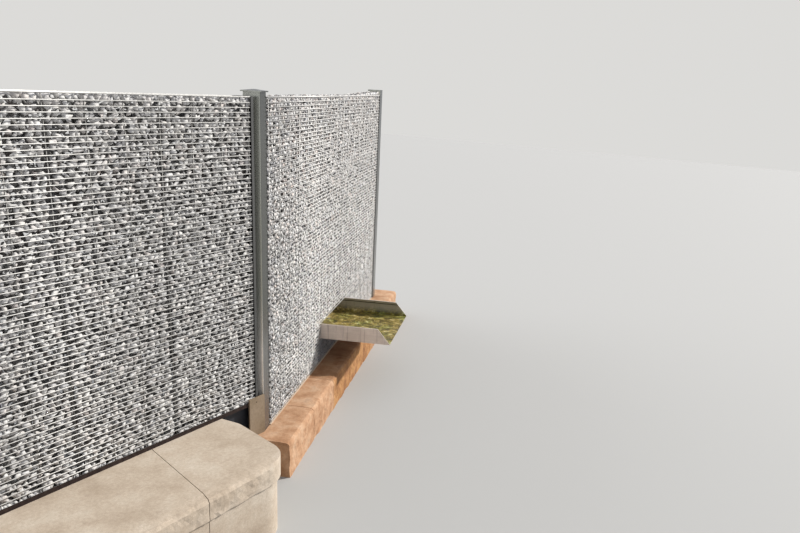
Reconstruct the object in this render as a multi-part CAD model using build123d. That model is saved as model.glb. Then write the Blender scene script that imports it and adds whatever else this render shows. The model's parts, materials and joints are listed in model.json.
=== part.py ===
from build123d import *
import math
import os

# Gabion garden wall: fence-type gabion bays in two straight runs that meet at a bent corner.
# Millimetres, z up. The origin is on the ground under the corner post's axis.
# The left run goes along -x, the right run turns back by the bend angle; the pond side faces -y.

# overall heights
TOP = 2250.0            # centre of the top rods
KERB_TOP = 240.0        # sandstone kerb under the right run
PLINTH_TOP = 450.0      # sandstone plinth under the left run
BEND = 23.85            # plan angle between the two runs, degrees

# bay
UPRIGHTS = 17           # upright wires of one mat
PITCH_X = 200.0         # between uprights
PITCH_Z = 25.0          # between rows
TOP_STEP = 29.5         # from the top rod to the first row
WIRE = 5.0
ROD = 8.0
EDGE = 31.0             # outermost upright to the end of the bay
BAY = PITCH_X * (UPRIGHTS - 1) + 2 * EDGE

# section through a bay, measured from its middle plane
CORE = 49.0             # face of the stone fill
SKIN = CORE + 2 * WIRE  # outside of the row wires
SHEET = 3.0
HALF = SKIN + SHEET     # outside of the end channels
FLANGE = 20.0
MAT_GAP = 2.0           # mat ends stay this far off the channel web

# ties and the slots they lie in
TIE_EVERY = 3
SLOT = 9.0
TIE_STEP = 400.0
TIE_LOW = 60.0          # no tie closer than this to the bay's floor
TIE_CLEAR = 20.0        # nor to the spout's window

# rail under the left run, base plate under the right run
RAIL_LIP = 24.0
BASE = 5.0

# posts and caps
POST = 100.0
POST_WALL = 4.0
POST_ROUND = 4.0
END_DEEP = 2 * HALF     # the right end post is as deep as the bay
POST_OVER = 30.0        # post above the top rods
END_OVER = 48.0         # the right end post stands a little higher
FOOT_CLOSE = 6.0        # plate that closes a post's foot
CAP = 120.0
CAP_LIP = 3.0
CAP_RISE = 8.0
CAP_PLATE = 3.0
CAP_TIP = 12.0          # flat left at the top of the pyramid
STONE_GAP = 2.0         # cut-outs in the stone round the posts

# where the left run ends beside the turned corner post
LEFT_END = -72.0
LUG_H = 60.0
LUG_W = 40.0
LUG_IN = 150.0          # lowest and highest lug from the ends of the bay

# spout, in the right bay
SPOUT_X = 1213.0
SPOUT_W = 817.0
SPOUT_Z = 441.0
SPOUT_H = 119.0
SPOUT_TOP_OUT = 450.0   # level top edge in front of the bay
SPOUT_OUT = 550.0       # lip of the floor
SPOUT_LIP = 12.0
SPOUT_GAP = 2.0
INLET_R = 30.0
INLET_OUT = 40.0

# sandstone
JOINT = 4.0
KERB_FRONT = 262.0
KERB_BACK = 95.0
KERB_START = -175.0
KERB_FIRST = 380.0      # first joint
KERB_STONE = 540.0
KERB_PAST = 278.0       # kerb past the right end post's axis
KERB_CHAMFER = 10.0
PLINTH_FRONT = 680.0
PLINTH_BACK = 100.0
PLINTH_ROUND = 200.0    # front corner of the plinth's end near the corner post
SLAB_T = 120.0
SETBACK = 15.0
TIP_X = -361.0          # the plinth's end is convex in plan: its tip, and the slant on both sides
TIP_Y = -190.0
TIP_FRONT = 12.3
TIP_BACK = 7.5
TIP_ROUND = 150.0
FIRST_JOINT = -867.0    # at the run's middle plane
FIRST_SLANT = 15.0      # degrees in plan, the one joint that shows
SECOND_JOINT = -1990.0
SLAB = 1050.0
PLINTH_PAST = 164.0     # plinth past the left end post
CORNER_ZONE = 100.0     # the free end's front corner lies further out than this from its tip
FOOTING_END = -380.0    # its face towards the plinth
FOOTING_FRONT = 25.0
FOOTING_BACK = 80.0
FOOT_W = 130.0
FOOT_T = 10.0
FOOT_TOP = 495.0
FOOT_HOLE_R = 4.0


def block(x0, x1, y0, y1, z0, z1):
    """A box between six planes."""
    return Pos((x0 + x1) / 2, (y0 + y1) / 2, (z0 + z1) / 2) * Box(x1 - x0, y1 - y0, z1 - z0)


def bar(start, end, size):
    """A square bar for a wire, along x or z."""
    h = size / 2
    if abs(end[0] - start[0]) > 0:
        return block(start[0], end[0], start[1] - h, start[1] + h, start[2] - h, start[2] + h)
    return block(start[0] - h, start[0] + h, start[1] - h, start[1] + h, start[2], end[2])


def spans(start, end, holes):
    """The stretches of start..end that lie outside the holes."""
    out, at = [], start
    for low, high in sorted(holes):
        if low > at:
            out.append((at, low))
        at = max(at, high)
    if at < end:
        out.append((at, end))
    return out


def cuts(start, step, end):
    """Joints from the first one on, a step apart, and the end; no stone shorter than half a step."""
    way = 1 if end > start else -1
    places, x = [], start
    while (end - x) * way > step / 2:
        places.append(x)
        x += way * step
    return places + [end]


def rows_z(bottom):
    """Heights of the row wires that fit above the bottom."""
    heights, z = [], TOP - TOP_STEP
    while z - WIRE / 2 > bottom:
        heights.append(z)
        z -= PITCH_Z
    return heights


def mat(side, bottom, window):
    """Rows and uprights of one welded wire mat; side is -1 in front, 1 behind."""
    x0, x1 = SHEET + MAT_GAP, BAY - SHEET - MAT_GAP
    y_row = side * (SKIN - WIRE / 2)
    y_up = side * (CORE + WIRE / 2)
    rows = [bar((x0, side * (SKIN - ROD / 2), TOP), (x1, side * (SKIN - ROD / 2), TOP), ROD)]
    for z in rows_z(bottom):
        cut = []
        if window and window[2] - WIRE < z < window[3] + WIRE:
            cut = [(window[0], window[1])]
        for a, b in spans(x0, x1, cut):
            rows.append(bar((a, y_row, z), (b, y_row, z), WIRE))
    uprights = []
    for k in range(UPRIGHTS):
        x = EDGE + k * PITCH_X
        cut = []
        if window and window[0] - WIRE < x < window[1] + WIRE:
            cut = [(window[2], window[3])]
        for a, b in spans(bottom, TOP - ROD / 2, cut):
            uprights.append(bar((x, y_up, a), (x, y_up, b), WIRE))
    return rows, uprights


def tie_places(from_right):
    """Every third upright has ties, counted from the corner end of each run."""
    steps = range(TIE_EVERY, UPRIGHTS - TIE_EVERY, TIE_EVERY)
    places = [EDGE + k * PITCH_X for k in steps]
    return sorted(BAY - x for x in places) if from_right else places


def fill(bottom, window, places):
    """Stone fill as columns between the tie slots."""
    edges = [SHEET] + places + [BAY - SHEET]
    columns = []
    for i in range(len(edges) - 1):
        a = edges[i] + (SLOT / 2 if i else 0)
        b = edges[i + 1] - (SLOT / 2 if i < len(edges) - 2 else 0)
        column = block(a, b, -CORE, CORE, bottom, TOP)
        if window and a < window[1] and b > window[0]:
            column -= block(window[0], window[1], -CORE, CORE, window[2], window[3])
        columns += column.solids()
    return columns


def ties(bottom, window, places):
    """Tie rods through the fill, from mat to mat."""
    rods = []
    for x in places:
        z = TOP - TOP_STEP - PITCH_Z * 3.5
        while z > bottom + TIE_LOW:
            beside = window and window[0] < x < window[1]
            if not (beside and window[2] - TIE_CLEAR < z < window[3] + TIE_CLEAR):
                rods.append(Pos(x, 0, z) * Box(WIRE, 2 * CORE, WIRE))
            z -= TIE_STEP
    return rods


def end_plate(bottom):
    """Flat end of the right bay against the corner post, no wider than the post."""
    return block(0, SHEET, -POST / 2, POST / 2, bottom, TOP + ROD / 2)


def channel(bottom, at_end):
    """Upright folded channel that the mat ends are pushed into."""
    web = block(0, SHEET, -HALF, HALF, bottom, TOP + ROD / 2)
    front = block(0, FLANGE, -HALF, -SKIN, bottom, TOP + ROD / 2)
    back = block(0, FLANGE, SKIN, HALF, bottom, TOP + ROD / 2)
    shape = web + front + back
    corners = [e for e in shape.edges().filter_by(Axis.Z)
               if e.center().X < 0.01 and abs(e.center().Y) > HALF - 0.01]
    shape = fillet(corners, SHEET - 0.5)
    if at_end:
        shape = Pos(BAY, 0, 0) * mirror(shape, about=Plane.YZ)
    return shape


def rail(bottom):
    """Shallow tray the left bays stand in, between the end channels."""
    x0, x1 = FLANGE, BAY - FLANGE
    floor = block(x0, x1, -HALF, HALF, bottom, bottom + SHEET)
    front = block(x0, x1, -HALF, -SKIN, bottom, bottom + RAIL_LIP)
    back = block(x0, x1, SKIN, HALF, bottom, bottom + RAIL_LIP)
    ends = block(SHEET, BAY - SHEET, -SKIN, SKIN, bottom, bottom + SHEET)
    return floor + front + back + ends


def base_plate(bottom):
    return block(SHEET, BAY - SHEET, -SKIN, SKIN, bottom, bottom + BASE)


def post(height, deep=POST):
    """Upright tube with slightly rounded corners and a closed foot."""
    outer = extrude(RectangleRounded(POST, deep, POST_ROUND), amount=height)
    bore = Rectangle(POST - 2 * POST_WALL, deep - 2 * POST_WALL)
    return outer - Pos(0, 0, FOOT_CLOSE) * extrude(bore, amount=height)


def cap():
    """Folded cap: a plate with a lip over the post and a low pyramid on top."""
    lip = Box(CAP, CAP, CAP_LIP, align=(Align.CENTER, Align.CENTER, Align.MAX))
    lip -= Box(POST, POST, CAP_LIP, align=(Align.CENTER, Align.CENTER, Align.MAX))
    plate = Box(CAP, CAP, CAP_PLATE, align=(Align.CENTER, Align.CENTER, Align.MIN))
    slope = math.degrees(math.atan((CAP - CAP_TIP) / 2 / CAP_RISE))
    pyramid = extrude(Plane.XY.offset(CAP_PLATE) * Rectangle(CAP, CAP), CAP_RISE, taper=slope)
    return lip + plate + pyramid


def spout():
    """Open trough through the bay: floor, two side walls with folded lips, back plate, inlet."""
    x0, x1 = SPOUT_X, SPOUT_X + SPOUT_W
    y_back = HALF
    y_top, y_lip = -HALF - SPOUT_TOP_OUT, -HALF - SPOUT_OUT
    z0, z1 = SPOUT_Z, SPOUT_Z + SPOUT_H
    profile = Plane.YZ * Polygon((y_back, z0), (y_lip, z0), (y_lip, z0 + SHEET),
                                 (y_top, z1), (y_back, z1), align=None)
    side = extrude(profile, amount=SHEET, dir=(1, 0, 0))
    shape = Pos(x0, 0, 0) * side + Pos(x1 - SHEET, 0, 0) * side
    shape += block(x0, x1, y_lip, y_back, z0, z0 + SHEET)
    shape += block(x0, x0 + SPOUT_LIP, y_top, y_back, z1 - SHEET, z1)
    shape += block(x1 - SPOUT_LIP, x1, y_top, y_back, z1 - SHEET, z1)
    shape += block(x0, x1, y_back - SHEET, y_back, z0, z1)
    mid_x, mid_z = (x0 + x1) / 2, (z0 + z1) / 2
    collar = Plane(origin=(mid_x, y_back - SHEET, mid_z), z_dir=(0, 1, 0))
    shape += extrude(collar * Circle(INLET_R), amount=INLET_OUT)
    shape -= extrude(collar * Circle(INLET_R - SHEET), amount=INLET_OUT)
    return shape


def window():
    """Hole through fill and mats: x0, x1, z0, z1 in the bay. The spout's floor lies on the fill."""
    g = SPOUT_GAP
    return (SPOUT_X - g, SPOUT_X + SPOUT_W + g, SPOUT_Z, SPOUT_Z + SPOUT_H + g)


def corner_lugs():
    """Wedges between the left run's end channel and the turned corner post."""
    b = math.radians(BEND)
    lugs = []
    for z in (PLINTH_TOP + LUG_IN, (PLINTH_TOP + TOP) / 2, TOP - LUG_IN):
        wedge = block(LEFT_END, 0, -LUG_W / 2, LUG_W / 2, z - LUG_H / 2, z + LUG_H / 2)
        keep = right(block(-2 * POST, -POST / 2, -POST, POST, z - LUG_H, z + LUG_H))
        lugs += (wedge & keep).solids()
    return lugs


def kerb():
    """Sandstone blocks under and in front of the right run, in the run's own axes."""
    stones = []
    places = [KERB_START] + cuts(KERB_FIRST, KERB_STONE, POST + BAY + KERB_PAST)
    for a, b in zip(places, places[1:]):
        stone = block(a + JOINT / 2, b - JOINT / 2, -KERB_FRONT, KERB_BACK, 0, KERB_TOP)
        top = [e for e in stone.edges().filter_by(Axis.X)
               if e.center().Z > KERB_TOP - 1 and e.center().Y < 0]
        stone = chamfer(top, KERB_CHAMFER)
        for middle, deep in ((0, POST), (POST + BAY, END_DEEP)):
            g, h = POST / 2 + STONE_GAP, deep / 2 + STONE_GAP
            stone -= block(middle - g, middle + g, -h, h, -1, KERB_TOP + 1)
        stones += stone.solids()
    return stones


def joint_x(joint, y, inset):
    """Where a joint, given by its x at the middle plane and its slant, lies at y."""
    return joint[0] + inset + y * math.tan(math.radians(joint[1]))


def joint_side(joint, front, back, inset):
    """Corner points of a stone along a joint, from the front to the back."""
    return [(joint_x(joint, y, inset), y) for y in (-front, back)]


def end_side(front, back, inset):
    """Corner points of the plinth's free end, from the front over the tip to the back."""
    tip = TIP_X - inset
    return [(tip - (TIP_Y + front) * math.tan(math.radians(TIP_FRONT)), -front), (tip, TIP_Y),
            (tip - (back - TIP_Y) * math.tan(math.radians(TIP_BACK)), back)]


def slab(right_side, left_side, z0, z1):
    plan = Polygon(*right_side, *reversed(left_side), align=None)
    return extrude(Plane.XY.offset(z0) * plan, amount=z1 - z0, dir=(0, 0, 1))


def round_end(stone):
    """Round the free end's tip and front corner."""
    def upright_edges(low, high):
        near = (TIP_X + FIRST_JOINT) / 2
        return [e for e in stone.edges().filter_by(Axis.Z)
                if e.center().X > near and low <= e.center().Y <= high]
    stone = fillet(upright_edges(TIP_Y - JOINT, TIP_Y + JOINT), TIP_ROUND)
    return fillet(upright_edges(-PLINTH_FRONT - JOINT, TIP_Y - CORNER_ZONE), PLINTH_ROUND)


def plinth():
    """Sandstone under the left run: a course of blocks and a course of slabs on it."""
    blocks, slabs = [], []
    holes = [LEFT_END - BAY - POST / 2, LEFT_END - 2 * (BAY + POST) + POST / 2]
    far_end = LEFT_END - 2 * (BAY + POST) - PLINTH_PAST
    joints = [(FIRST_JOINT, FIRST_SLANT)] + [(x, 0.0) for x in cuts(SECOND_JOINT, SLAB, far_end)]
    courses = ((slabs, 0.0, PLINTH_TOP - SLAB_T, PLINTH_TOP), (blocks, SETBACK, 0.0, PLINTH_TOP - SLAB_T))
    for course, inset, z0, z1 in courses:
        front, back = PLINTH_FRONT - inset, PLINTH_BACK - inset
        for i, left in enumerate(joints):
            left_side = joint_side(left, front, back, JOINT / 2)
            if i == 0:
                stone = round_end(slab(end_side(front, back, inset), left_side, z0, z1))
            else:
                stone = slab(joint_side(joints[i - 1], front, back, -JOINT / 2), left_side, z0, z1)
            for middle in holes:
                g = POST / 2 + STONE_GAP
                stone -= block(middle - g, middle + g, -g, g, -1, PLINTH_TOP + 1)
            course += stone.solids()
    return blocks, slabs


def corner_footing():
    """Set-back footing that carries the left run's end between plinth and corner post."""
    g = STONE_GAP
    body = block(FOOTING_END, LEFT_END - g, -FOOTING_FRONT, FOOTING_BACK, 0, PLINTH_TOP)
    first_stone = block(KERB_START - g, KERB_FIRST, -KERB_FRONT - g, KERB_BACK + g, -1, KERB_TOP)
    post_room = block(-POST / 2 - g, POST / 2 + g, -POST / 2 - g, POST / 2 + g, -1, PLINTH_TOP + 1)
    return (body - right(first_stone) - right(post_room)).solids()


def foot_plate():
    """Upright stone plate from the left run's end to the corner post's arris, with a small hole."""
    b = math.radians(BEND)
    arris = -POST / 2 * (math.cos(b) - math.sin(b))
    x0 = arris - FOOT_W
    plate = block(x0, arris, -HALF - FOOT_T, -HALF, KERB_TOP, FOOT_TOP)
    hole = Plane(origin=(x0 + FOOT_W * 0.45, -HALF, FOOT_TOP - 3 * FOOT_T), z_dir=(0, -1, 0))
    hole = hole * Circle(FOOT_HOLE_R)
    plate -= extrude(hole, amount=FOOT_T)
    return plate - right(Pos(0, 0, FOOT_TOP / 2) * Box(POST, POST, FOOT_TOP))


def right(shape):
    """Place something given in the right run's axes."""
    return Rot(0, 0, BEND) * shape


def save(name, shapes):
    shapes = shapes if isinstance(shapes, list) else [shapes]
    group = shapes[0] if len(shapes) == 1 else Compound(children=shapes)
    export_step(group, "parts/" + name + ".step")


def save_bay(name, place, bottom, stands_in, hole):
    """All pieces of one bay, placed by the given function."""
    left_run = stands_in == "rail"
    inside = bottom + (SHEET if left_run else BASE)
    places = tie_places(from_right=left_run)
    for side, word in ((-1, "front"), (1, "back")):
        rows, uprights = mat(side, inside, hole)
        save(name + "_rows_" + word, [place(s) for s in rows])
        save(name + "_uprights_" + word, [place(s) for s in uprights])
    save(name + "_fill", [place(s) for s in fill(inside, hole, places)])
    save(name + "_ties", [place(s) for s in ties(inside, hole, places)])
    if left_run:
        save(name + "_channel_left", place(channel(bottom, False)))
    else:
        save(name + "_end_plate", place(end_plate(bottom)))
    save(name + "_channel_right", place(channel(bottom, True)))
    save(name + "_rail", place(rail(bottom) if left_run else base_plate(bottom)))


os.makedirs("parts", exist_ok=True)

near_x = LEFT_END - BAY
far_x = near_x - POST - BAY
save_bay("near_bay", lambda s: Pos(near_x, 0, 0) * s, PLINTH_TOP, "rail", None)
save_bay("far_bay", lambda s: Pos(far_x, 0, 0) * s, PLINTH_TOP, "rail", None)
save_bay("right_bay", lambda s: right(Pos(POST / 2, 0, 0) * s), KERB_TOP, "plate", window())

height = TOP + POST_OVER
save("corner_post", right(post(height)))
save("corner_cap", right(Pos(0, 0, height) * cap()))
save("middle_post", Pos(near_x - POST / 2, 0, 0) * post(height))
save("middle_cap", Pos(near_x - POST / 2, 0, height) * cap())
save("left_end_post", Pos(far_x - POST / 2, 0, 0) * post(height))
save("left_end_cap", Pos(far_x - POST / 2, 0, height) * cap())
end_x = POST + BAY
save("right_end_post", right(Pos(end_x, 0, 0) * post(TOP + END_OVER, END_DEEP)))
save("right_end_plate", right(Pos(end_x, 0, TOP + END_OVER) * Box(
    POST, END_DEEP, CAP_PLATE, align=(Align.CENTER, Align.CENTER, Align.MIN))))
save("corner_lugs", corner_lugs())
save("corner_footing", corner_footing())
save("spout", right(Pos(POST / 2, 0, 0) * spout()))
save("kerb_stones", [right(s) for s in kerb()])
low_course, top_course = plinth()
save("plinth_blocks", low_course)
save("plinth_slabs", top_course)
save("foot_plate", foot_plate())
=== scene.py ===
import json
import math
from collections import namedtuple

import bmesh
import bpy
import numpy as np
from mathutils import Matrix, Vector, noise as mathnoise


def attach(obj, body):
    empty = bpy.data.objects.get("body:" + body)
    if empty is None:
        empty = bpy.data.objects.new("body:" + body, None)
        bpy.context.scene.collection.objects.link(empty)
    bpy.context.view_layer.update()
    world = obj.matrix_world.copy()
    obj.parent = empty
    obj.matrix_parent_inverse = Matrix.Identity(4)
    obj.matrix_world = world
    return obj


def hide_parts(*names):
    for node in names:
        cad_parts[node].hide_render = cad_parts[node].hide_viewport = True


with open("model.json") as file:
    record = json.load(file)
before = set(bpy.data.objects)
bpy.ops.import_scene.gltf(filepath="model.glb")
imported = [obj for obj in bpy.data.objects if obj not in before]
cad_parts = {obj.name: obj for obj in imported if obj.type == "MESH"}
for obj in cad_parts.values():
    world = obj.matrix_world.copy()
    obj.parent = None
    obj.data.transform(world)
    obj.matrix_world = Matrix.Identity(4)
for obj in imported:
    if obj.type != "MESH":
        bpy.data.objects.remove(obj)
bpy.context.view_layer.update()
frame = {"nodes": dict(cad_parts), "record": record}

# Sizes of the solids, in metres; a bay is measured from its left end and its middle plane
TOP = 2.25                      # middle of the top rods
TOP_STEP = 0.0295               # from the top rod to the first row
KERB_TOP = 0.240                # under the right bay
PLINTH_TOP = 0.450              # under the left bays
BEND = math.radians(23.85)      # between the left run and the right run
WIRE = 0.005                    # thickness of a row or an upright
ROD = 0.008                     # thickness of a top rod
CORE = 0.049                    # face of the stone fill
SKIN = CORE + 2 * WIRE          # outside of the row wires
EDGE = 0.031                    # outermost upright to the end of the bay
PITCH_X = 0.2                   # between uprights
PITCH_Z = 0.025                 # between rows
UPRIGHTS = 17                   # upright wires of one mat
BAY_LENGTH = PITCH_X * (UPRIGHTS - 1) + 2 * EDGE
TIE_EVERY = 3                   # every third upright has ties
SHEET = 0.003                   # thickness of the end channels
MAT_GAP = 0.002                 # mat ends stay this far off the channel web
RAIL_FLOOR = 0.003              # sheet under the left bays' stones
BASE_PLATE = 0.005              # plate under the right bay's stones
POST = 0.1                      # side of a post; the corner post stands on the origin
LEFT_END = -0.072               # where the left run ends beside the corner post

# Spout, and the openings it needs in the right bay
Opening = namedtuple("Opening", "left right low high")
SPOUT_X = 1.213
SPOUT_W = 0.817
SPOUT_Z = 0.441
SPOUT_H = 0.119
SPOUT_GAP = 0.002               # between the spout and the cut wires
SPOUT_ROOM = 0.014              # stone centres stay this far from the spout
SPOUT = Opening(SPOUT_X, SPOUT_X + SPOUT_W, SPOUT_Z, SPOUT_Z + SPOUT_H)
WINDOW_X = (SPOUT.left - SPOUT_GAP, SPOUT.right + SPOUT_GAP)
WINDOW_Z = (SPOUT.low, SPOUT.high + SPOUT_GAP)
NO_STONES = Opening(SPOUT.left - SPOUT_ROOM, SPOUT.right + SPOUT_ROOM,
                    SPOUT.low - SPOUT_ROOM, SPOUT.high + SPOUT_ROOM)
SPOUT_MIDDLE_X = (POST / 2 + (SPOUT.left + SPOUT.right) / 2) * math.cos(BEND)     # in the world

# Places where water, film, painted shade and painted light show; the damp stretches, which also carry
# painted shade, are measured along the right run
# the kerb under the spout is damp, and painted darker as shade of the spout's shadow
KERB_DAMP_AND_SHADE = (0.90, 2.50)
SPOUT_DAMP_AND_SHADE = (POST / 2 + SPOUT.left - 0.09, POST / 2 + SPOUT.right + 0.20)
DAMP_AND_SHADE_FADE = (0.05, 0.25)                # lengths over which damp and painted shade fade at the stretch's two ends
DAMP_AND_SHADE_SIDE = 0.03                        # damp and painted shade are full this far out on the pond side
WET_AND_SHADE_FULL = SPOUT.low - 0.03             # wires and stones are wet, and painted darker as shade, below the first height
WET_AND_SHADE_END = SPOUT.low + 0.01              # and neither above the second
WET_AND_SHADE_TINT = (0.44, 0.44, 0.46)
FILM_FULL = SPOUT.low + 0.012           # the spout's film is full up to the first height
FILM_END = SPOUT.low + 0.065            # and almost ends at the second
LIP_SHADOW = SPOUT.high - 0.024           # a painted shadow of the spout's far lip lies in a wavy line under it
LIP_SHADOW_WAVE = 0.016                   # how much the line waves
LIP_SHADOW_HALF = 0.0035                  # half of its width
POST_GROUND_REFLECTION = (0.75, 1.15)               # painted reflection of the bright ground: bright below the first height, not above the second

# Directions in the world, and how nearly a face has to be turned to one to count, as dot products
ALONG_RIGHT = (math.cos(BEND), math.sin(BEND), 0.0)
TO_LEFT_RUN = (-math.cos(BEND), -math.sin(BEND), 0.0)
TO_POND = (math.sin(BEND), -math.cos(BEND), 0.0)
UPWARD = (0.0, 0.0, 1.0)
TURNED = (0.5, 0.9)             # not at all at the first, fully at the second

# Camera, solved from the photograph
WIDTH = 800.0
HEIGHT = 533.0
CENTRE_PX = (400.0, 353.7)      # the photograph is a crop, so its optical axis lies below its middle
FOCAL_PX = 748.3
EYE = Vector((-3.204, -3.082, 2.343))
YAW = math.radians(57.50)
PITCH = math.radians(19.63)
ROLL = math.radians(2.98)
SENSOR_MM = 36.0
SIGHT = 200.0                   # how far the camera sees


def make_camera():
    """The photograph's camera; its shift is what the crop needs."""
    cam = bpy.data.objects.new("camera", bpy.data.cameras.new("camera"))
    bpy.context.scene.collection.objects.link(cam)
    cam.data.sensor_width = SENSOR_MM
    cam.data.lens = SENSOR_MM * FOCAL_PX / WIDTH
    cam.data.shift_x = (WIDTH / 2 - CENTRE_PX[0]) / WIDTH
    cam.data.shift_y = (CENTRE_PX[1] - HEIGHT / 2) / WIDTH
    cam.data.clip_end = SIGHT
    look = Vector((math.sin(YAW) * math.cos(PITCH), math.cos(YAW) * math.cos(PITCH), -math.sin(PITCH)))
    level = Vector((math.cos(YAW), -math.sin(YAW), 0.0))
    above = level.cross(look)
    right = level * math.cos(ROLL) + above * math.sin(ROLL)
    up = -level * math.sin(ROLL) + above * math.cos(ROLL)
    turn = Matrix((right, up, -look)).transposed()
    cam.matrix_world = Matrix.Translation(EYE) @ turn.to_4x4()
    bpy.context.scene.camera = cam


# Pieces and meshes
def new_object(name, mesh, look, node_names=(), stage=False):
    """Link a mesh: as a piece of the wall that stands for CAD nodes, or as part of the stage."""
    obj = bpy.data.objects.new(name, mesh)
    bpy.context.scene.collection.objects.link(obj)
    mesh.materials.append(look)
    if stage:
        return
    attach(obj, "root")
    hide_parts(*node_names)


def mesh_from_arrays(name, places, face_arrays):
    """A mesh from places and face arrays; the faces of one array have the same number of corners."""
    mesh = bpy.data.meshes.new(name)
    mesh.vertices.add(len(places))
    mesh.vertices.foreach_set("co", places.astype(np.float32).ravel())
    corners = np.concatenate([faces.ravel() for faces in face_arrays]).astype(np.int32)
    mesh.loops.add(len(corners))
    mesh.loops.foreach_set("vertex_index", corners)
    counts = np.concatenate([np.full(len(faces), faces.shape[1]) for faces in face_arrays])
    mesh.polygons.add(len(counts))
    mesh.polygons.foreach_set("loop_start", (np.cumsum(counts) - counts).astype(np.int32))
    mesh.update(calc_edges=True)
    mesh.validate()
    return mesh


class Run:
    """One straight run of the wall: which way it goes, and where on it a bay starts."""

    def __init__(self, turn, start):
        self.cos = math.cos(turn)
        self.sin = math.sin(turn)
        self.start = start

    def place(self, local):
        """World places of points given as x along the bay, y towards its back and z up."""
        x = local[:, 0] + self.start
        y = local[:, 1]
        return np.column_stack([x * self.cos - y * self.sin, x * self.sin + y * self.cos, local[:, 2]])


# Helpers for materials
def grey(value):
    return (value, value, value)


def new_material(name):
    """A new material, its node tree and its shader."""
    look = bpy.data.materials.new(name)
    look.use_nodes = True
    tree = look.node_tree
    bsdf = next(n for n in tree.nodes if n.type == "BSDF_PRINCIPLED")
    return look, tree, bsdf


def feed(tree, socket, value):
    """Give a socket a number or a colour, or link another socket to it."""
    if isinstance(value, (int, float)):
        socket.default_value = value
    elif isinstance(value, tuple):
        socket.default_value = (*value, 1.0)
    else:
        tree.links.new(value, socket)


def coat(tree, bsdf, colour, roughness, metallic=0.0, specular=0.5):
    """Give a shader its colour, roughness, metallic share and specular level."""
    for name, value in (("Base Color", colour), ("Roughness", roughness),
                        ("Metallic", metallic), ("Specular IOR Level", specular)):
        feed(tree, bsdf.inputs[name], value)


def noise(tree, scale, detail, rough, stretch=None):
    """Noise over the piece's own coordinates; stretch scales each of the three."""
    texture = tree.nodes.new("ShaderNodeTexNoise")
    for name, value in (("Scale", scale), ("Detail", detail), ("Roughness", rough)):
        texture.inputs[name].default_value = value
    place = tree.nodes.new("ShaderNodeTexCoord").outputs["Object"]
    if stretch:
        mapping = tree.nodes.new("ShaderNodeMapping")
        mapping.inputs["Scale"].default_value = stretch
        tree.links.new(place, mapping.inputs["Vector"])
        place = mapping.outputs["Vector"]
    tree.links.new(place, texture.inputs["Vector"])
    return texture.outputs["Fac"]


def ramp(tree, value, stops):
    """A colour for each value, from stops of a position and a colour."""
    node = tree.nodes.new("ShaderNodeValToRGB")
    elements = node.color_ramp.elements
    while len(elements) < len(stops):
        elements.new(0.5)
    for element, (position, colour) in zip(elements, stops):
        element.position = position
        element.color = (*colour, 1.0)
    tree.links.new(value, node.inputs["Fac"])
    return node.outputs["Color"]


def mix(tree, share, a, b, kind="MIX"):
    """Colour a with a share of colour b mixed in, in one of Blender's ways of mixing."""
    node = tree.nodes.new("ShaderNodeMix")
    node.data_type = "RGBA"
    node.blend_type = kind
    for name, value in (("Factor", share), ("A", a), ("B", b)):
        feed(tree, node.inputs[name], value)
    return node.outputs["Result"]


def tint(tree, a, b):
    """One colour multiplied by another."""
    return mix(tree, 1.0, a, b, "MULTIPLY")


def calc(tree, kind, *values):
    """One of the sums of Blender's Math node, on numbers or sockets."""
    node = tree.nodes.new("ShaderNodeMath")
    node.operation = kind
    for socket, value in zip(node.inputs, values):
        feed(tree, socket, value)
    return node.outputs["Value"]


def times(tree, a, b):
    return calc(tree, "MULTIPLY", a, b)


def spread(tree, value, low, high, to_low=0.0, to_high=1.0):
    """Map a value from low..high to to_low..to_high, clamped."""
    node = tree.nodes.new("ShaderNodeMapRange")
    for name, number in (("Value", value), ("From Min", low), ("From Max", high),
                         ("To Min", to_low), ("To Max", to_high)):
        feed(tree, node.inputs[name], number)
    return node.outputs["Result"]


def bump(tree, bsdf, height, strength, distance):
    node = tree.nodes.new("ShaderNodeBump")
    for name, value in (("Height", height), ("Strength", strength), ("Distance", distance)):
        feed(tree, node.inputs[name], value)
    tree.links.new(node.outputs["Normal"], bsdf.inputs["Normal"])


def place_and_normal(tree):
    """The three world coordinates of the place, and its normal."""
    geometry = tree.nodes.new("ShaderNodeNewGeometry")
    place = tree.nodes.new("ShaderNodeSeparateXYZ")
    tree.links.new(geometry.outputs["Position"], place.inputs["Vector"])
    return place.outputs, geometry.outputs["Normal"]


def turned_to(tree, normal, direction):
    """1 on faces turned to a direction, 0 on the others."""
    dot = tree.nodes.new("ShaderNodeVectorMath")
    dot.operation = "DOT_PRODUCT"
    dot.inputs[1].default_value = direction
    tree.links.new(normal, dot.inputs[0])
    return spread(tree, dot.outputs["Value"], *TURNED)


def level_distance(tree, x, y, direction):
    """How far a place lies from the corner post's axis in a level direction."""
    return calc(tree, "MULTIPLY_ADD", x, direction[0], times(tree, y, direction[1]))


def damp_and_shade_stretch(tree, x, y, damp):
    """1 on the pond side between two places along the right run, 0 elsewhere."""
    along = level_distance(tree, x, y, ALONG_RIGHT)
    out = level_distance(tree, x, y, TO_POND)
    inside = times(tree, spread(tree, along, damp[0], damp[0] + DAMP_AND_SHADE_FADE[0]),
                   spread(tree, along, damp[1], damp[1] - DAMP_AND_SHADE_FADE[1]))
    return times(tree, inside, spread(tree, out, 0.0, DAMP_AND_SHADE_SIDE))


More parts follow.
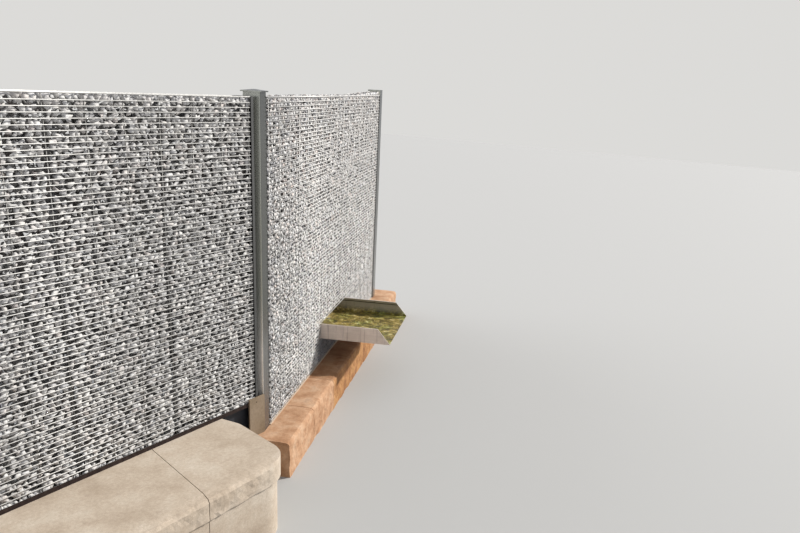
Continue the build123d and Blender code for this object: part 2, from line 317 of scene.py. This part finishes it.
def wet_and_shade_below_spout(tree, colour):
    """Darken a colour under the spout, where the wall is wet and where painted shade stands for the
    spout's shadow.
    """
    (x, y, z), _ = place_and_normal(tree)
    wet = times(tree, damp_and_shade_stretch(tree, x, y, SPOUT_DAMP_AND_SHADE), spread(tree, z, WET_AND_SHADE_END, WET_AND_SHADE_FULL))
    # wet, and painted shade of the spout's shadow: the colour is darkened below the spout
    return mix(tree, wet, colour, tint(tree, colour, WET_AND_SHADE_TINT))


def brush_and_cloud(tree):
    """Fine upright brush lines and broad clouds, as on rolled sheet."""
    return noise(tree, 1.0, 3.0, 0.7, (220.0, 220.0, 2.0)), noise(tree, 3.0, 4.0, 0.6)


def brushed_coat(tree, bsdf, colour, brush, smoothest, roughest, metallic):
    """A coat whose roughness and relief follow the brush lines."""
    coat(tree, bsdf, colour, spread(tree, brush, 0.0, 1.0, smoothest, roughest), metallic)
    bump(tree, bsdf, brush, 0.08, 0.0006)


# Materials
def stone_material(name, shade, evenness=0.0):
    """Light crushed stone, each chip with its own tone; evenness 1 gives all chips one tone."""
    look, tree, bsdf = new_material(name)
    chip = tree.nodes.new("ShaderNodeNewGeometry").outputs["Random Per Island"]
    tone = ramp(tree, chip, [
        (0.0, (0.20, 0.20, 0.215)), (0.04, (0.42, 0.415, 0.43)), (0.10, (0.64, 0.63, 0.635)),
        (0.22, (0.76, 0.70, 0.66)), (0.30, (0.76, 0.75, 0.74)), (0.46, (0.80, 0.79, 0.77)),
        (0.58, (0.76, 0.77, 0.79)), (0.66, (0.82, 0.81, 0.79)), (0.80, (0.84, 0.825, 0.795)),
        (0.86, (0.70, 0.60, 0.56)), (0.90, (0.83, 0.80, 0.75)), (1.0, (0.85, 0.845, 0.83))])
    tone = mix(tree, evenness, tone, (0.75, 0.74, 0.72))
    grain = ramp(tree, noise(tree, 320.0, 4.0, 0.65), [(0.35, (0.72, 0.72, 0.73)), (0.55, grey(1.0))])
    patch = ramp(tree, noise(tree, 60.0, 3.0, 0.6), [
        (0.35, (0.80, 0.80, 0.82)), (0.6, (1.0, 0.995, 0.985))])
    colour = tint(tree, tint(tree, tint(tree, tone, grain), patch), grey(shade))
    coat(tree, bsdf, wet_and_shade_below_spout(tree, colour), 0.85, specular=0.25)
    bump(tree, bsdf, noise(tree, 120.0, 6.0, 0.7), 0.5, 0.004)
    return look


def wire_material(name, dark, light, metallic=0.55):
    """Galvanised wire with its spangle, wet and painted darker as shade under the spout."""
    look, tree, bsdf = new_material(name)
    spangle = noise(tree, 90.0, 3.0, 0.6)
    colour = ramp(tree, spangle, [(0.3, dark), (0.7, light)])
    coat(tree, bsdf, wet_and_shade_below_spout(tree, colour), spread(tree, spangle, 0.0, 1.0, 0.38, 0.6), metallic)
    return look


def brushed_material(name, dark, light, smoothest, roughest, metallic=1.0):
    """Brushed sheet in two tones."""
    look, tree, bsdf = new_material(name)
    brush, cloud = brush_and_cloud(tree)
    colour = mix(tree, 0.5, ramp(tree, brush, [(0.25, dark), (0.75, light)]),
                 ramp(tree, cloud, [(0.3, dark), (0.7, light)]))
    brushed_coat(tree, bsdf, colour, brush, smoothest, roughest, metallic)
    return look


def sandstone_material(name, deep, mid, pale, stain, scale=5.0, damp=None):
    """Mottled stone; damp is (from, to) along the right run, where water has darkened it and painted
    shade of the spout's shadow darkens it further.
    """
    look, tree, bsdf = new_material(name)
    broad = noise(tree, scale, 5.0, 0.6)
    fine = noise(tree, 320.0, 4.0, 0.6)
    grain = noise(tree, 60.0, 4.0, 0.65)
    colour = ramp(tree, broad, [(0.25, deep), (0.5, mid), (0.75, pale)])
    colour = tint(tree, colour, ramp(tree, fine, [(0.3, grey(0.78)), (0.7, grey(1.1))]))
    colour = tint(tree, colour, ramp(tree, grain, [(0.3, (0.84, 0.83, 0.82)), (0.7, grey(1.06))]))
    colour = mix(tree, spread(tree, noise(tree, 9.0, 6.0, 0.72), 0.60, 0.74, 0.0, 0.7), colour, stain)
    if damp:
        (x, y, _), normal = place_and_normal(tree)
        wet = damp_and_shade_stretch(tree, x, y, damp)
        front = turned_to(tree, normal, TO_POND)
        ochre = times(tree, times(tree, wet, front), spread(tree, broad, 0.3, 0.7, 0.2, 0.9))
        # damp stone; this darkening is also painted shade of the spout's shadow
        colour = mix(tree, wet, colour, tint(tree, colour, (0.66, 0.58, 0.50)))
        colour = mix(tree, ochre, colour, tint(tree, colour, (1.32, 1.2, 0.80)))
    coat(tree, bsdf, colour, 0.88, specular=0.2)
    bump(tree, bsdf, mix(tree, 0.5, grain, fine), 0.35, 0.003)
    return look


def spout_material():
    """Weathered sheet with a green film where water runs: on what faces up, and low on the far wall. The
    far wall's inner face also carries tarnish with painted shade and a painted shadow under its lip; the
    film's palest flecks are painted glints.
    """
    look, tree, bsdf = new_material("spout_steel")
    (x, _, z), normal = place_and_normal(tree)
    brush = noise(tree, 1.0, 3.0, 0.7, (3.0, 3.0, 160.0))
    cloud = noise(tree, 6.0, 5.0, 0.65)
    drips = noise(tree, 1.0, 3.0, 0.6, (60.0, 60.0, 3.0))
    steel = mix(tree, 0.5,
                ramp(tree, brush, [(0.25, (0.52, 0.455, 0.40)), (0.75, (0.72, 0.645, 0.575))]),
                ramp(tree, cloud, [(0.3, (0.48, 0.415, 0.36)), (0.7, (0.76, 0.68, 0.605))]))
    steel = tint(tree, steel, ramp(tree, drips, [(0.33, (0.72, 0.69, 0.71)), (0.42, grey(1.02))]))

    past_middle = spread(tree, x, SPOUT_MIDDLE_X, SPOUT_MIDDLE_X + 0.05)
    far_wall = times(tree, turned_to(tree, normal, TO_LEFT_RUN), past_middle)
    waved = calc(tree, "MULTIPLY_ADD", cloud, LIP_SHADOW_WAVE, z)
    lip_shadow_mask = calc(tree, "COMPARE", waved, LIP_SHADOW + LIP_SHADOW_WAVE / 2, LIP_SHADOW_HALF)
    tarnish_and_shade, lip_shadow_colour = (0.115, 0.12, 0.06), (0.02, 0.022, 0.015)
    # tarnish, and painted shade: the far wall's inner face, which is turned from the sun, is darkened and
    # greened
    steel = mix(tree, times(tree, far_wall, 0.62), steel, tarnish_and_shade)
    # painted shadow of the far lip, drawn as a dark wavy line
    steel = mix(tree, times(tree, far_wall, lip_shadow_mask), steel, lip_shadow_colour)

    clumps = mix(tree, 0.55, noise(tree, 16.0, 6.0, 0.75), noise(tree, 150.0, 4.0, 0.8))
    # the near-white top of this ramp is painted glints on the wet film
    film = ramp(tree, clumps, [
        (0.43, (0.014, 0.017, 0.006)), (0.475, (0.060, 0.050, 0.008)), (0.515, (0.19, 0.14, 0.014)),
        (0.555, (0.33, 0.26, 0.035)), (0.585, (0.56, 0.52, 0.27)), (0.62, (0.90, 0.90, 0.84))])
    greener = spread(tree, noise(tree, 5.0, 3.0, 0.6), 0.45, 0.65, 0.0, 0.6)
    film = tint(tree, film, mix(tree, greener, (1.08, 1.0, 0.95), (0.62, 1.0, 0.55)))
    wetted = calc(tree, "MAXIMUM", turned_to(tree, normal, UPWARD), far_wall)
    share = times(tree, wetted, spread(tree, z, FILM_FULL, FILM_END, 1.0, 0.05))
    coat(tree, bsdf, mix(tree, share, steel, film), 0.42, calc(tree, "MULTIPLY_ADD", share, -0.5, 0.5))
    bump(tree, bsdf, times(tree, clumps, share), 0.8, 0.012)
    return look


def post_material():
    """Brushed sheet with painted light: a painted reflection of the ground brightens it near the foot,
    the sides that face along the left run are painted bright and the front painted dark.
    """
    look, tree, bsdf = new_material("post_steel")
    brush, cloud = brush_and_cloud(tree)
    (_, _, z), normal = place_and_normal(tree)
    # painted reflection of the sunlit ground: brighter towards the foot
    low = spread(tree, z, POST_GROUND_REFLECTION[1], POST_GROUND_REFLECTION[0])
    # painted reflections by facing: the front is painted dark, the flanks turned along the left run
    # painted bright
    front = mix(tree, low, (0.065, 0.068, 0.060), (0.17, 0.167, 0.16))
    painted_light_flank = mix(tree, low, (0.46, 0.47, 0.42), (0.92, 0.90, 0.87))
    colour = mix(tree, turned_to(tree, normal, TO_LEFT_RUN), front, painted_light_flank)
    colour = tint(tree, colour, ramp(tree, brush, [(0.25, grey(0.82)), (0.75, grey(1.12))]))
    colour = tint(tree, colour, ramp(tree, cloud, [(0.3, grey(0.86)), (0.7, grey(1.08))]))
    brushed_coat(tree, bsdf, colour, brush, 0.20, 0.34, 0.75)
    return look


def rail_material():
    """Dark paint under a little dust."""
    look, tree, bsdf = new_material("dark_rail_paint")
    dust = ramp(tree, noise(tree, 30.0, 5.0, 0.7), [
        (0.4, (0.015, 0.009, 0.008)), (0.8, (0.045, 0.030, 0.025))])
    coat(tree, bsdf, dust, 0.75, specular=0.15)
    bump(tree, bsdf, noise(tree, 150.0, 3.0, 0.6), 0.1, 0.0005)
    return look


def footing_shade_material():
    """Near-black sheet in the corner footing: painted shade for the dark recess under the wing's end."""
    look, tree, bsdf = new_material("footing_liner")
    dust = ramp(tree, noise(tree, 12.0, 5.0, 0.7), [
        (0.35, (0.006, 0.007, 0.011)), (0.8, (0.022, 0.025, 0.033))])
    coat(tree, bsdf, dust, 0.6)
    bump(tree, bsdf, noise(tree, 25.0, 3.0, 0.6), 0.3, 0.004)
    return look


RIGHT_STONE = stone_material("crushed_stone", 0.82)
# painted shade: the left bays' stones are a darker, evener copy of the same stone, which tones down their
# sunlit facets
SHADED_LEFT_STONE = stone_material("crushed_stone_left_shaded", 0.79, 0.5)
# painted shade: the middle layer is the same stone, made dark so that the gaps between the outer stones
# read as deep voids
SHADED_INNER_STONE = stone_material("inner_stone_painted_shade", 0.30)
# one galvanised wire in lit and shaded copies: the right bay's rows and uprights are painted lighter, as
# painted light on the sunlit wing, and the left bays' uprights darker, as painted shade behind the rows
WIRES = wire_material("galvanised_wire", (0.31, 0.305, 0.295), (0.47, 0.465, 0.45))
LIT_WIRES = wire_material("galvanised_lit", (0.42, 0.41, 0.395), (0.60, 0.59, 0.57), 0.25)
LIT_ROW_WIRES = wire_material("galvanised_row_lit", (0.38, 0.375, 0.36), (0.54, 0.53, 0.515), 0.35)
SHADED_UPRIGHT_WIRES = wire_material("galvanised_upright_shaded", (0.14, 0.137, 0.132), (0.24, 0.235, 0.225))
CHANNEL_STEEL = brushed_material("channel_steel", (0.10, 0.10, 0.098), (0.17, 0.17, 0.165), 0.3, 0.5)
BASE_STEEL = brushed_material("dusty_base_plate", (0.36, 0.28, 0.21), (0.54, 0.45, 0.36), 0.6, 0.8, 0.1)
KERB_STONE = sandstone_material("kerb_sandstone", (0.28, 0.14, 0.07), (0.43, 0.255, 0.15),
                                (0.56, 0.39, 0.265), (0.18, 0.09, 0.05), 9.0, KERB_DAMP_AND_SHADE)
PLINTH_STONE = sandstone_material("plinth_sandstone", (0.36, 0.29, 0.22), (0.46, 0.385, 0.305),
                                  (0.54, 0.475, 0.395), (0.25, 0.195, 0.15))
FOOT_STONE = sandstone_material("foot_sandstone", (0.17, 0.125, 0.08), (0.225, 0.17, 0.115),
                                (0.28, 0.215, 0.155), (0.17, 0.125, 0.085))

NODE_MATERIALS = {"foot_plate": FOOT_STONE, "right_bay_rail": BASE_STEEL}
SLOT_MATERIALS = {
    "stones": RIGHT_STONE, "mesh_wire": WIRES, "channel_steel": CHANNEL_STEEL,
    "kerb_sandstone": KERB_STONE, "plinth_sandstone": PLINTH_STONE,
    "post_steel": post_material(), "spout_steel": spout_material(),
    "dark_rail": rail_material(), "footing_liner": footing_shade_material(),
}


def dress_cad_nodes():
    """A node's own material where it has one, else its slot's."""
    for part in frame["record"]["subparts"]:
        look = NODE_MATERIALS.get(part["node"], SLOT_MATERIALS[part["material_slot"]])
        materials = frame["nodes"][part["node"]].data.materials
        materials.clear()
        materials.append(look)


# Bays
Fill = namedtuple("Fill", [
    "spacing",      # between the outer stones' centres
    "sink",         # how far back the outer stones lie
    "slot_half",    # half of a tie rod's slot
    "heap",         # stones above the top rod
    "heap_rise",    # more of it at the far end
])
LEFT_FILL = Fill(spacing=0.0318, sink=0.0075, slot_half=0.009, heap=0.002, heap_rise=0.0)
RIGHT_FILL = Fill(spacing=0.0280, sink=0.0045, slot_half=0.005, heap=0.010, heap_rise=0.028)

Look = namedtuple("Look", "stones rows uprights")
LEFT_LOOK = Look(SHADED_LEFT_STONE, WIRES, SHADED_UPRIGHT_WIRES)
RIGHT_LOOK = Look(RIGHT_STONE, LIT_ROW_WIRES, LIT_WIRES)

Bay = namedtuple("Bay", "run floor is_right fill look")
NEAR_START = LEFT_END - BAY_LENGTH
FAR_START = NEAR_START - POST - BAY_LENGTH
LEFT_FLOOR = PLINTH_TOP + RAIL_FLOOR
RIGHT_FLOOR = KERB_TOP + BASE_PLATE
BAYS = {
    "near_bay": Bay(Run(0.0, NEAR_START), LEFT_FLOOR, False, LEFT_FILL, LEFT_LOOK),
    "far_bay": Bay(Run(0.0, FAR_START), LEFT_FLOOR, False, LEFT_FILL, LEFT_LOOK),
    "right_bay": Bay(Run(BEND, POST / 2), RIGHT_FLOOR, True, RIGHT_FILL, RIGHT_LOOK),
}


def tie_places(bay):
    """Where tie rods stand along a bay, counted from its corner end: its right end on the left run."""
    places = [EDGE + k * PITCH_X for k in range(TIE_EVERY, UPRIGHTS - TIE_EVERY, TIE_EVERY)]
    return places if bay.is_right else sorted(BAY_LENGTH - x for x in places)


# Stones
STONE_SEED = 7
STONE_TEMPLATES = 40
STONE_POINTS = 10
BOXINESS = 0.75                     # 1 puts all points of a template on the sides of a box
SKEW = 0.28                         # how far a template's box is skewed
SIDES = (0.68, 1.0)                 # lengths of its sides
PROPORTIONS = np.array([1.04, 1.0, 0.8])        # of a stone's length, width and height
RADIUS = (0.52, 0.78)               # of a stone, in spacings
CELL = (1.05, 0.82)                 # room for a stone along the bay and up, in spacings
STAGGER = 0.25                      # shift of every second course, in cells
STRAY = 0.40                        # how far a stone strays from its place, in cells
TILT = 0.5                          # how far stones tilt from lying flat, in radians
INNER_SPACING = 0.0415              # between the centres of the stones in the middle
INNER_STRAY = 0.012                 # how far they stray from the middle plane
FACE = CORE + 0.004                 # stones press a little between the uprights
SINK_BIAS = 3.0                     # above 1, more of the outer stones lie near the mat
PRESS = (0.45, 0.85)                # how much of a stone's radius its flat side has lost
LEAN = 0.09                         # how far flat sides lean, as a slope
SLOT_COVER = 0.020                  # how far stones of the middle layer reach over a slot
SINK_DROP = 0.5                     # how much lower stones end that lie further back, as a slope
END_ROOM = 0.0005                   # between the stones and the ends of their column
HEAP_FROM = 2.2                     # where in the bay the heap begins to rise


def stone_templates(rng):
    """Broken chips: hulls of points near the sides of a skewed box, about unit radius."""
    templates = []
    for _ in range(STONE_TEMPLATES):
        points = rng.uniform(-1.0, 1.0, size=(STONE_POINTS, 3))
        points /= np.abs(points).max(axis=1)[:, None] ** BOXINESS
        points += SKEW * points[:, [1, 2, 0]] * rng.uniform(-1.0, 1.0, size=3)
        points *= rng.uniform(*SIDES, size=3)
        bm = bmesh.new()
        for point in points:
            bm.verts.new(point)
        bmesh.ops.convex_hull(bm, input=bm.verts)
        bmesh.ops.delete(bm, geom=[v for v in bm.verts if not v.link_faces], context="VERTS")
        bmesh.ops.triangulate(bm, faces=bm.faces)
        bm.verts.index_update()
        corners = np.array([v.co[:] for v in bm.verts])
        faces = np.array([[v.index for v in f.verts] for f in bm.faces])
        bm.free()
        templates.append((corners - corners.mean(axis=0), faces))
    return templates


def scatter(rng, spacing, length, low, high):
    """Strayed centres of one layer of stones, as x and z."""
    columns = max(2, round(length / (spacing * CELL[0])))
    courses = max(2, round((high - low) / (spacing * CELL[1])))
    cell = np.array([length / columns, (high - low) / courses])
    grid = np.meshgrid(np.arange(columns), np.arange(courses), indexing="ij")
    column, course = grid[0].ravel(), grid[1].ravel()
    centres = np.column_stack([(column + 0.5 + STAGGER * (course % 2)) * cell[0],
                               (course + 0.5) * cell[1] + low])
    centres += rng.uniform(-STRAY, STRAY, size=centres.shape) * cell
    bottom_course = centres[centres[:, 1] < low + cell[1]]
    between = bottom_course + [0.5 * cell[0], 0.0]      # more stones there close it at the floor
    return np.concatenate([centres, between[between[:, 0] < length]])


def outside(centres, opening, start):
    """The centres that lie outside an opening; start is where in the bay their layer starts."""
    x = centres[:, 0] + start
    z = centres[:, 1]
    inside = (x > opening.left) & (x < opening.right) & (z > opening.low) & (z < opening.high)
    return centres[~inside]


def turns_about(axis, angles):
    """Rotation matrices about one axis."""
    after, last = (axis + 1) % 3, (axis + 2) % 3
    turns = np.zeros((len(angles), 3, 3))
    turns[:, axis, axis] = 1.0
    turns[:, after, after] = turns[:, last, last] = np.cos(angles)
    turns[:, last, after] = np.sin(angles)
    turns[:, after, last] = -turns[:, last, after]
    return turns


def random_turns(rng, count):
    """Rotation matrices: any way round, but lying nearly flat."""
    yaw = rng.uniform(0, 2 * np.pi, count)
    tilt = rng.normal(0, TILT, count)
    roll = rng.normal(0, TILT, count)
    return turns_about(0, tilt) @ turns_about(1, roll) @ turns_about(2, yaw)


def settle(stones, axis, low, high):
    """Move whole stones along one axis until they lie between two planes."""
    along = stones[:, :, axis]
    along += np.maximum(0.0, low - along.min(axis=1))[:, None]
    along -= np.maximum(0.0, along.max(axis=1) - high)[:, None]


def lean_on_mat(rng, stones, side, centres, radius, sink):
    """Move stones out to the mat, and break a flat side on them where they would stand past it."""
    press = radius * rng.uniform(*PRESS, len(radius))
    lean = rng.normal(0.0, LEAN, (2, len(radius), 1))
    slope = (lean[0] * (stones[:, :, 0] - centres[:, 0, None])
             + lean[1] * (stones[:, :, 2] - centres[:, 1, None]))
    flat = (FACE - sink)[:, None] - np.abs(slope)
    out = side * stones[:, :, 1]
    out += (FACE - sink + press - out.max(axis=1))[:, None]
    stones[:, :, 1] = side * np.minimum(out, flat)


def heap_height(fill, x):
    rise = np.clip((x - HEAP_FROM) / (BAY_LENGTH - HEAP_FROM), 0.0, 1.0)
    return TOP + fill.heap + fill.heap_rise * rise


def stone_layer(rng, templates, bay, side, start, end, reach):
    """Corners and faces of one layer's stones, in the bay.

    Side -1 leans on the front mat, 1 on the back mat, and 0 lies between. The layer lies between
    start and end, and may run past them by the two lengths in reach.
    """
    fill = bay.fill
    spacing = fill.spacing if side else INNER_SPACING
    length = end - start
    centres = scatter(rng, spacing, length, bay.floor, heap_height(fill, start + length))
    if bay.is_right:
        centres = outside(centres, NO_STONES, start)
    radius = spacing * rng.uniform(*RADIUS, len(centres))
    kind = rng.integers(0, len(templates), len(centres))
    turns = random_turns(rng, len(centres))
    all_corners, all_faces, used = [], [], 0
    for number, (corners, faces) in enumerate(templates):
        chosen = kind == number
        count = chosen.sum()
        shapes = corners * (radius[chosen, None, None] * PROPORTIONS)
        stones = np.einsum("nij,nkj->nki", turns[chosen], shapes)
        stones[:, :, 0] += centres[chosen, 0, None]
        stones[:, :, 2] += centres[chosen, 1, None]
        sink = rng.uniform(0.0, 1.0, count) ** SINK_BIAS * fill.sink
        if side:
            lean_on_mat(rng, stones, side, centres[chosen], radius[chosen], sink)
        else:
            stones[:, :, 1] += rng.uniform(-INNER_STRAY, INNER_STRAY, count)[:, None]
            settle(stones, 1, fill.sink - FACE, FACE - fill.sink)
        settle(stones, 0, END_ROOM - reach[0], length - END_ROOM + reach[1])
        settle(stones, 2, bay.floor, heap_height(fill, start + centres[chosen, 0]) - SINK_DROP * sink)
        all_corners.append(stones.reshape(-1, 3))
        first = used + np.arange(count) * len(corners)
        all_faces.append((faces + first[:, None, None]).reshape(-1, 3))
        used += count * len(corners)
    return np.concatenate(all_corners) + [start, 0.0, 0.0], np.concatenate(all_faces)


def make_stones(bay_name):
    """Stones in three layers, front, inner and back, in each column between the tie rods."""
    bay = BAYS[bay_name]
    rng = np.random.default_rng(STONE_SEED + sum(map(ord, bay_name)))
    templates = stone_templates(rng)
    edges = [SHEET] + tie_places(bay) + [BAY_LENGTH - SHEET]
    columns = list(zip(edges, edges[1:]))
    for i, (left, right) in enumerate(columns):
        at_slot = [i > 0, i < len(columns) - 1]         # ends of the column that lie at a slot
        for side, word in ((-1, "front"), (0, "inner"), (1, "back")):
            kept_off = bay.fill.slot_half if side else 0.0      # the middle layer closes the slots
            reach = [0.0 if side else SLOT_COVER * flag for flag in at_slot]
            start = left + kept_off * at_slot[0]
            end = right - kept_off * at_slot[1]
            corners, faces = stone_layer(rng, templates, bay, side, start, end, reach)
            name = "stones_%s_%d_%s" % (bay_name, i, word)
            mesh = mesh_from_arrays(name, bay.run.place(corners), [faces])
            look = bay.look.stones if side else SHADED_INNER_STONE
            new_object(name, mesh, look, (bay_name + "_fill",))


# Wires
RING = 8                # sides of a round wire


def round_bars(name, bars, run, look, node_name):
    """Closed round bars as one piece; each bar is its start, its end and its diameter."""
    starts, ends = (np.array([bar[i] for bar in bars]) for i in (0, 1))
    radii = np.array([bar[2] / 2 for bar in bars])[:, None, None]
    along = (ends - starts) / np.linalg.norm(ends - starts, axis=1)[:, None]
    side = np.array([0.0, 1.0, 0.0])
    other = np.cross(along, side)[:, None, :]
    angle = (np.arange(RING) * 2 * np.pi / RING)[:, None]
    circles = radii * (np.cos(angle) * side + np.sin(angle) * other)
    rings = np.concatenate([starts[:, None] + circles, ends[:, None] + circles], axis=1)
    first = np.arange(len(bars))[:, None, None] * 2 * RING
    corner = np.arange(RING)
    after = (corner + 1) % RING
    walls = (first + np.column_stack([corner, RING + corner, RING + after, after])).reshape(-1, 4)
    caps = (first + np.array([corner, RING + corner[::-1]])).reshape(-1, RING)
    mesh = mesh_from_arrays(name, run.place(rings.reshape(-1, 3)), [walls, caps])
    mesh.polygons.foreach_set("use_smooth", [True] * len(walls) + [False] * len(caps))
    new_object(name, mesh, look, (node_name,))


def row_heights(floor):
    """Heights of the row wires that fit above a floor."""
    heights, z = [], TOP - TOP_STEP
    while z - WIRE / 2 > floor:
        heights.append(z)
        z -= PITCH_Z
    return heights


def spans(bay, start, end, hole, place, window):
    """The stretches of a wire from start to end, without the hole if it would meet the spout.

    It would if its place, across its own direction, lies in the spout's window.
    """
    if not (bay.is_right and window[0] - WIRE < place < window[1] + WIRE):
        return [(start, end)]
    return [(a, b) for a, b in ((start, min(end, hole[0])), (max(start, hole[1]), end)) if b > a]


def make_mats(bay_name):
    """The front and back mat of a bay, each as a piece of rows and a piece of uprights."""
    bay = BAYS[bay_name]
    left, right = SHEET + MAT_GAP, BAY_LENGTH - SHEET - MAT_GAP
    for side, word in ((-1, "front"), (1, "back")):
        y_rod = side * (SKIN - ROD / 2)
        y_row = side * (SKIN - WIRE / 2)
        y_upright = side * (CORE + WIRE / 2)
        rows = [((left, y_rod, TOP), (right, y_rod, TOP), ROD)]
        for z in row_heights(bay.floor):
            for a, b in spans(bay, left, right, WINDOW_X, z, WINDOW_Z):
                rows.append(((a, y_row, z), (b, y_row, z), WIRE))
        uprights = []
        for k in range(UPRIGHTS):
            x = EDGE + k * PITCH_X
            for a, b in spans(bay, bay.floor, TOP - ROD / 2, WINDOW_Z, x, WINDOW_X):
                uprights.append(((x, y_upright, a), (x, y_upright, b), WIRE))
        for kind, bars, look in (("rows", rows, bay.look.rows),
                                 ("uprights", uprights, bay.look.uprights)):
            name = "%s_round_%s_%s" % (bay_name, kind, word)
            round_bars(name, bars, bay.run, look, "%s_%s_%s" % (bay_name, kind, word))


# Hewn stone
HEWN_STEP = 0.022       # between the cuts that make the mesh fine
HEWN_CUTS = 6           # cuts behind the front
HEWN_REACH = 0.06       # how far behind the front the hammering reaches
COARSE_LUMPS = 13.0     # lumps in a metre
FINE_LUMPS = 41.0
FINE_SHARE = 0.35
WORN = 0.011            # how far the upper front edge is worn back
WORN_BELOW = 0.035      # how far down the wear reaches
WORN_DOWN = 0.6         # how far the edge is worn down, as a share of WORN
MERGE = 1e-5            # corners closer than this are one
ON_CUT = 1e-6           # corners closer to a cut than this lie on it


def wear(place, front_y, top_z, deep):
    """Push a place near the front in by its lumps, and the upper front edge back and down."""
    front = max(0.0, 1.0 - (place.y - front_y) / HEWN_REACH)
    if front <= 0.0:
        return
    lumps = (0.5 + 0.5 * mathnoise.noise(place * COARSE_LUMPS)
             + FINE_SHARE * mathnoise.noise(place * FINE_LUMPS))
    edge = max(0.0, 1.0 - (top_z - place.z) / WORN_BELOW) ** 2
    place.y += front * (deep * min(1.0, max(0.0, lumps)) + WORN * edge)
    unevenly = max(0.0, 0.6 + 0.5 * lumps)
    place.z -= front * edge * WORN * WORN_DOWN * unevenly


def even_cuts(low, high):
    """Places of even cuts between low and high, about a step apart."""
    steps = max(2, round((high - low) / HEWN_STEP))
    return [low + (high - low) * k / steps for k in range(1, steps)]


def hewn(node_name, turn, slot, deep):
    """Sandstone with a hammered front: the solid's outline, cut fine and pushed in on its pond side."""
    bm = bmesh.new()
    bm.from_mesh(frame["nodes"][node_name].data)
    bm.transform(Matrix.Rotation(-turn, 4, "Z"))
    bmesh.ops.remove_doubles(bm, verts=bm.verts, dist=MERGE)
    low = [min(v.co[i] for v in bm.verts) for i in range(3)]
    high = [max(v.co[i] for v in bm.verts) for i in range(3)]
    behind_front = [low[1] + k * HEWN_STEP for k in range(1, HEWN_CUTS + 1)]
    cuts_by_axis = (even_cuts(low[0], high[0]), behind_front, even_cuts(low[2], high[2]))
    for axis, cuts in enumerate(cuts_by_axis):
        normal = Vector((axis == 0, axis == 1, axis == 2))
        for cut in cuts:
            bmesh.ops.bisect_plane(bm, geom=bm.verts[:] + bm.edges[:] + bm.faces[:], dist=ON_CUT,
                                   plane_co=normal * cut, plane_no=normal)
    for v in bm.verts:
        wear(v.co, low[1], high[2], deep)
    bm.transform(Matrix.Rotation(turn, 4, "Z"))
    bmesh.ops.triangulate(bm, faces=bm.faces)
    mesh = bpy.data.meshes.new(node_name + "_hewn")
    bm.to_mesh(mesh)
    bm.free()
    new_object(node_name + "_hewn", mesh, SLOT_MATERIALS[slot], (node_name,))


# Stage and light
FLOOR_HALF = 30.0       # half of the floor's side
FLOOR_COLOUR = (0.345, 0.345, 0.34)
SKY_COLOUR = (0.95, 0.96, 1.0, 1.0)
SKY_STRENGTH = 0.80
BACKDROP_COLOUR = (0.715, 0.708, 0.69, 1.0)         # what the camera sees of the sky
SUN_DIRECTION = Vector((0.745, -0.40, 0.535))       # towards the sun
SUN_STRENGTH = 5.35
SUN_COLOUR = (1.0, 0.97, 0.92)
SUN_SPREAD = math.radians(2.5)
FILL_DIRECTION = Vector((-0.25, 0.90, 0.35))        # soft light on the back
FILL_STRENGTH = 1.3
FILL_COLOUR = (1.0, 1.0, 1.0)
FILL_SPREAD = math.radians(60.0)


def make_floor():
    look, tree, bsdf = new_material("floor")
    coat(tree, bsdf, FLOOR_COLOUR, 0.9)
    mesh = bpy.data.meshes.new("floor")
    low, high = -FLOOR_HALF, FLOOR_HALF
    mesh.from_pydata([(low, low, 0), (high, low, 0), (high, high, 0), (low, high, 0)], [], [(0, 1, 2, 3)])
    new_object("floor", mesh, look, stage=True)


def make_sky():
    """An even sky that lights the scene, seen by the camera as a plain backdrop."""
    world = bpy.data.worlds.new("world")
    bpy.context.scene.world = world
    world.use_nodes = True
    tree = world.node_tree
    sky = tree.nodes["Background"]
    sky.inputs["Color"].default_value = SKY_COLOUR
    sky.inputs["Strength"].default_value = SKY_STRENGTH
    backdrop = tree.nodes.new("ShaderNodeBackground")
    backdrop.inputs["Color"].default_value = BACKDROP_COLOUR
    path = tree.nodes.new("ShaderNodeLightPath")
    choose = tree.nodes.new("ShaderNodeMixShader")
    tree.links.new(path.outputs["Is Camera Ray"], choose.inputs[0])
    tree.links.new(sky.outputs["Background"], choose.inputs[1])
    tree.links.new(backdrop.outputs["Background"], choose.inputs[2])
    tree.links.new(choose.outputs["Shader"], tree.nodes["World Output"].inputs["Surface"])


def make_sun(name, direction, strength, colour, spread_angle):
    sun = bpy.data.objects.new(name, bpy.data.lights.new(name, "SUN"))
    bpy.context.scene.collection.objects.link(sun)
    sun.data.energy = strength
    sun.data.color = colour
    sun.data.angle = spread_angle
    sun.rotation_euler = direction.to_track_quat("Z", "Y").to_euler()


make_camera()
dress_cad_nodes()
for bay_name in BAYS:
    make_stones(bay_name)
    make_mats(bay_name)
hewn("kerb_stones", BEND, "kerb_sandstone", 0.012)
hewn("plinth_slabs", 0.0, "plinth_sandstone", 0.008)
make_floor()
make_sky()
make_sun("sun", SUN_DIRECTION, SUN_STRENGTH, SUN_COLOUR, SUN_SPREAD)
make_sun("fill", FILL_DIRECTION, FILL_STRENGTH, FILL_COLOUR, FILL_SPREAD)
bpy.context.scene.view_settings.view_transform = "Standard"
